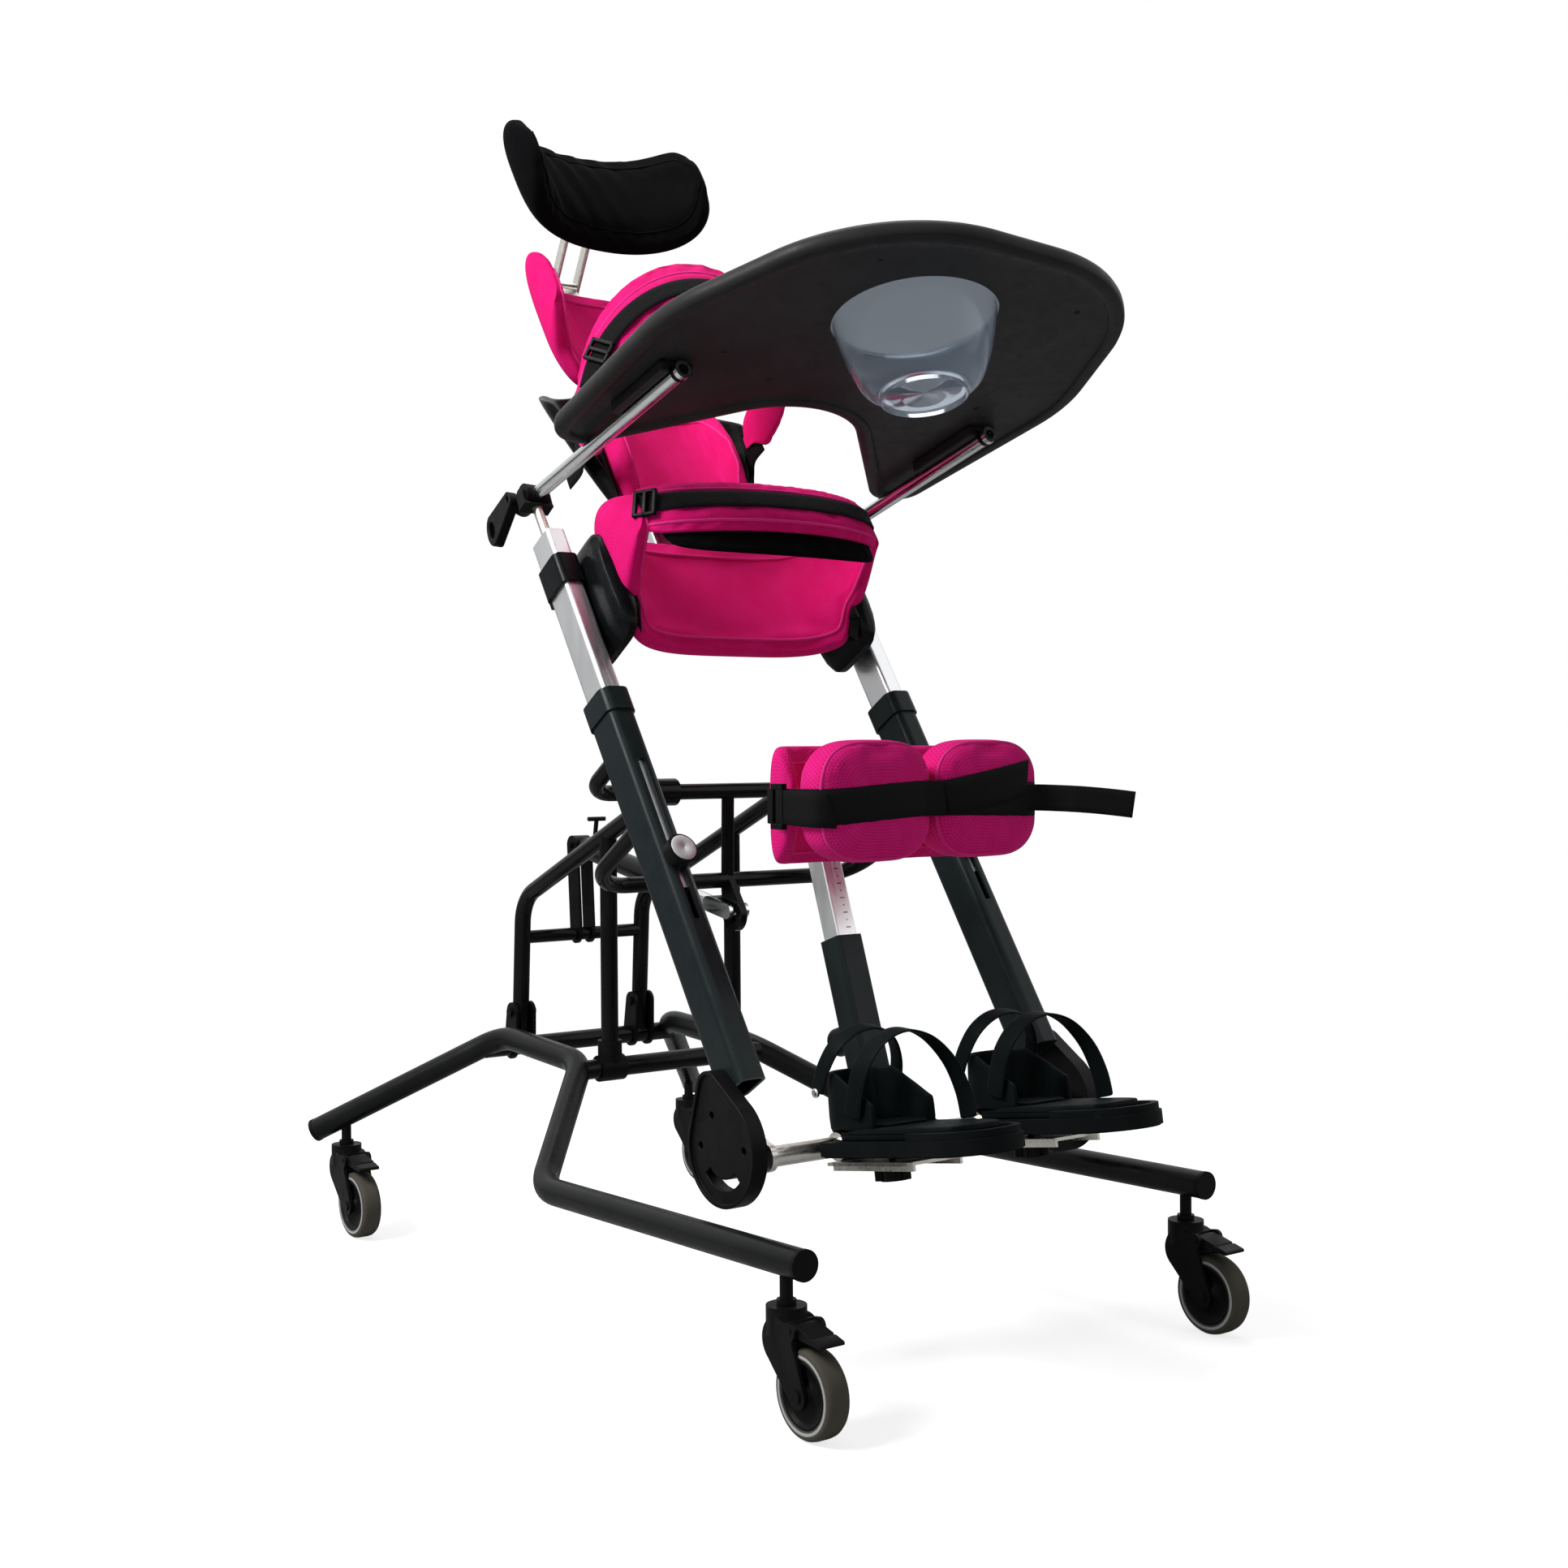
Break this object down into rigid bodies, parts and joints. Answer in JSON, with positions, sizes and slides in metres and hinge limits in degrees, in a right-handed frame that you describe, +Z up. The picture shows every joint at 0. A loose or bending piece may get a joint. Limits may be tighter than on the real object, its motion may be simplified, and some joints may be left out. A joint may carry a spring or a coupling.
{
  "type": "standing frame",
  "caption": "Paediatric supine standing frame on casters: a tilting, telescoping frame with padded body supports, tray with bowl, knee support and footplates.",
  "frame": {"origin": "on the floor, under the middle of the bounding box", "axes": "+X to the user's left, -Y the way the user faces, +Z up"},
  "size_m": [0.7426, 1.3383, 1.6994],
  "materials": {
    "black_tube": "gloss black powder coat",
    "green_tube": "satin dark grey-green anodising",
    "bright_tube": "satin anodised",
    "steel": "zinc plated",
    "black_plastic": "fine moulded grain",
    "tray_plastic": "satin moulded",
    "pink_mesh": "woven spacer mesh",
    "black_fabric": "brushed knit",
    "webbing": "woven webbing",
    "sandal": "matt",
    "tyre": "matt grey",
    "clear_bowl": "clear plastic"
  },
  "bodies": {
    "chassis": {"left_side_tube": "black_tube", "right_side_tube": "black_tube", "base_cross_tubes": "black_tube", "tower_tubes": "black_tube", "front_posts": "black_tube", "tower_brace": "black_tube", "base_fittings": "black_plastic"},
    "front_left_fork": {"front_left_fork": "black_plastic"},
    "front_left_wheel": {"front_left_wheel": "tyre"},
    "front_left_pedal": {"front_left_pedal": "black_plastic"},
    "front_right_fork": {"front_right_fork": "black_plastic"},
    "front_right_wheel": {"front_right_wheel": "tyre"},
    "front_right_pedal": {"front_right_pedal": "black_plastic"},
    "rear_left_fork": {"rear_left_fork": "black_plastic"},
    "rear_left_wheel": {"rear_left_wheel": "tyre"},
    "rear_left_pedal": {"rear_left_pedal": "black_plastic"},
    "rear_right_fork": {"rear_right_fork": "black_plastic"},
    "rear_right_wheel": {"rear_right_wheel": "tyre"},
    "rear_right_pedal": {"rear_right_pedal": "black_plastic"},
    "tilt_frame": {"left_upright": "green_tube", "right_upright": "green_tube", "pivot_bar": "black_tube", "lower_bar": "black_tube", "left_side_bracket": "black_plastic", "right_side_bracket": "black_plastic"},
    "actuator_body": {"actuator_body": "black_tube"},
    "actuator_rod": {"actuator_rod": "steel"},
    "upper_frame": {"inner_tubes": "bright_tube", "pelvic_shell": "black_plastic", "pelvic_pad": "pink_mesh", "pelvic_belt": "pink_mesh", "spine": "bright_tube"},
    "left_height_knob": {"left_height_knob": "black_plastic"},
    "right_height_knob": {"right_height_knob": "black_plastic"},
    "chest_support": {"chest_shell": "black_plastic", "chest_pad": "pink_mesh", "upper_back_pad": "pink_mesh", "chest_belt": "pink_mesh"},
    "headrest_stem": {"headrest_stem": "steel"},
    "headrest": {"headrest_pad": "black_fabric"},
    "tray_stems": {"tray_stems": "steel"},
    "tray_clamps": {"tray_clamps": "black_plastic"},
    "left_clamp_lever": {"left_clamp_lever": "black_plastic"},
    "right_clamp_lever": {"right_clamp_lever": "black_plastic"},
    "tray": {"tray_rods": "bright_tube", "tray": "tray_plastic"},
    "bowl": {"bowl": "clear_bowl"},
    "foot_frame": {"foot_bar": "steel", "knee_post": "green_tube"},
    "left_foot": {"left_footplate": "black_plastic", "left_sandal": "sandal"},
    "right_foot": {"right_footplate": "black_plastic", "right_sandal": "sandal"},
    "left_foot_knob": {"left_foot_knob": "black_plastic"},
    "right_foot_knob": {"right_foot_knob": "black_plastic"},
    "knee_knob": {"knee_knob": "black_plastic"},
    "knee_support": {"knee_tube": "bright_tube", "knee_back_pads": "pink_mesh", "knee_front_pads": "pink_mesh", "knee_strap": "webbing"}
  },
  "joints": [
    {"name": "front_left_swivel", "type": "hinge", "parent": "chassis", "child": "front_left_fork", "pos_m": [0.322, -0.536, 0.13], "axis": [0, 0, 1], "continuous": true},
    {"name": "front_left_roll", "type": "hinge", "parent": "front_left_fork", "child": "front_left_wheel", "pos_m": [0.322, -0.582, 0.05], "axis": [1, 0, 0], "continuous": true},
    {"name": "front_left_brake", "type": "hinge", "parent": "front_left_fork", "child": "front_left_pedal", "pos_m": [0.322, -0.57, 0.118], "axis": [1, 0, 0], "range_deg": [0, 6]},
    {"name": "front_right_swivel", "type": "hinge", "parent": "chassis", "child": "front_right_fork", "pos_m": [-0.322, -0.536, 0.13], "axis": [0, 0, 1], "continuous": true},
    {"name": "front_right_roll", "type": "hinge", "parent": "front_right_fork", "child": "front_right_wheel", "pos_m": [-0.322, -0.582, 0.05], "axis": [1, 0, 0], "continuous": true},
    {"name": "front_right_brake", "type": "hinge", "parent": "front_right_fork", "child": "front_right_pedal", "pos_m": [-0.322, -0.57, 0.118], "axis": [1, 0, 0], "range_deg": [0, 6]},
    {"name": "rear_left_swivel", "type": "hinge", "parent": "chassis", "child": "rear_left_fork", "pos_m": [0.322, 0.616, 0.13], "axis": [0, 0, 1], "continuous": true},
    {"name": "rear_left_roll", "type": "hinge", "parent": "rear_left_fork", "child": "rear_left_wheel", "pos_m": [0.322, 0.57, 0.05], "axis": [1, 0, 0], "continuous": true},
    {"name": "rear_left_brake", "type": "hinge", "parent": "rear_left_fork", "child": "rear_left_pedal", "pos_m": [0.322, 0.582, 0.118], "axis": [1, 0, 0], "range_deg": [0, 6]},
    {"name": "rear_right_swivel", "type": "hinge", "parent": "chassis", "child": "rear_right_fork", "pos_m": [-0.322, 0.616, 0.13], "axis": [0, 0, 1], "continuous": true},
    {"name": "rear_right_roll", "type": "hinge", "parent": "rear_right_fork", "child": "rear_right_wheel", "pos_m": [-0.322, 0.57, 0.05], "axis": [1, 0, 0], "continuous": true},
    {"name": "rear_right_brake", "type": "hinge", "parent": "rear_right_fork", "child": "rear_right_pedal", "pos_m": [-0.322, 0.582, 0.118], "axis": [1, 0, 0], "range_deg": [0, 6]},
    {"name": "tilt", "type": "hinge", "parent": "chassis", "child": "tilt_frame", "pos_m": [0, 0.029, 0.69], "axis": [1, 0, 0], "range_deg": [-19, 25]},
    {"name": "actuator_swing", "type": "hinge", "parent": "chassis", "child": "actuator_body", "pos_m": [0, 0.44, 0.6], "axis": [1, 0, 0], "range_deg": [-1.9, 2.4]},
    {"name": "actuator_stroke", "type": "slide", "parent": "actuator_body", "child": "actuator_rod", "axis": [0, -0.983, -0.1834], "range_m": [-0.0745, 0.0595]},
    {"name": "body_height", "type": "slide", "parent": "tilt_frame", "child": "upper_frame", "axis": [0, 0.5446, 0.8387], "range_m": [-0.06, 0.13]},
    {"name": "left_height_knob_turn", "type": "hinge", "parent": "upper_frame", "child": "left_height_knob", "pos_m": [0.242, -0.17709, 0.59848], "axis": [0, -0.8387, 0.5446], "continuous": true},
    {"name": "right_height_knob_turn", "type": "hinge", "parent": "upper_frame", "child": "right_height_knob", "pos_m": [-0.242, -0.17709, 0.59848], "axis": [0, -0.8387, 0.5446], "continuous": true},
    {"name": "chest_height", "type": "slide", "parent": "upper_frame", "child": "chest_support", "axis": [0, 0.5446, 0.8387], "range_m": [-0.02, 0.028]},
    {"name": "headrest_height", "type": "slide", "parent": "upper_frame", "child": "headrest_stem", "axis": [0, 0.5446, 0.8387], "range_m": [0, 0.06]},
    {"name": "headrest_tilt", "type": "hinge", "parent": "headrest_stem", "child": "headrest", "pos_m": [0, 0.47015, 1.48499], "axis": [1, 0, 0], "range_deg": [-20, 8]},
    {"name": "tray_height", "type": "slide", "parent": "upper_frame", "child": "tray_stems", "axis": [0, 0.5446, 0.8387], "range_m": [0, 0.06]},
    {"name": "tray_tilt", "type": "hinge", "parent": "tray_stems", "child": "tray_clamps", "pos_m": [0, 0.13662, 1.08156], "axis": [0.9951, -0.0538, -0.0828], "range_deg": [-10, 11]},
    {"name": "tray_reach", "type": "slide", "parent": "tray_clamps", "child": "tray", "axis": [0.0289, 0.9605, -0.2768], "range_m": [0, 0.08]},
    {"name": "left_clamp_turn", "type": "hinge", "parent": "tray_clamps", "child": "left_clamp_lever", "pos_m": [0.24278, 0.14948, 1.05395], "axis": [0.9951, -0.0538, -0.0828], "range_deg": [0, 70]},
    {"name": "right_clamp_turn", "type": "hinge", "parent": "tray_clamps", "child": "right_clamp_lever", "pos_m": [-0.24122, 0.17562, 1.09421], "axis": [0.9951, -0.0538, -0.0828], "range_deg": [0, 70]},
    {"name": "bowl_lift", "type": "slide", "parent": "tray", "child": "bowl", "axis": [0.0944, 0.2731, 0.9573], "range_m": [0, 0.12]},
    {"name": "foot_angle", "type": "hinge", "parent": "tilt_frame", "child": "foot_frame", "pos_m": [0, -0.35345, 0.27183], "axis": [1, 0, 0], "range_deg": [-12, 12]},
    {"name": "left_foot_slide", "type": "slide", "parent": "foot_frame", "child": "left_foot", "axis": [0, -0.9877, 0.1564], "range_m": [0, 0.045]},
    {"name": "left_foot_knob_turn", "type": "hinge", "parent": "left_foot", "child": "left_foot_knob", "pos_m": [0.113, -0.46976, 0.24705], "axis": [0, 0.1564, 0.9877], "continuous": true},
    {"name": "right_foot_slide", "type": "slide", "parent": "foot_frame", "child": "right_foot", "axis": [0, -0.9877, 0.1564], "range_m": [0, 0.045]},
    {"name": "right_foot_knob_turn", "type": "hinge", "parent": "right_foot", "child": "right_foot_knob", "pos_m": [-0.113, -0.46976, 0.24705], "axis": [0, 0.1564, 0.9877], "continuous": true},
    {"name": "knee_knob_turn", "type": "hinge", "parent": "foot_frame", "child": "knee_knob", "pos_m": [0, -0.24171, 0.3667], "axis": [0, 0.9455, -0.3256], "continuous": true},
    {"name": "knee_height", "type": "slide", "parent": "foot_frame", "child": "knee_support", "axis": [0, 0.3256, 0.9455], "range_m": [-0.06, 0.06]}
  ],
  "couplings": [
    {"joint": "actuator_stroke", "follows": "tilt", "m_per_rad": -0.16788},
    {"joint": "actuator_swing", "follows": "tilt", "ratio": 0.09}
  ]
}
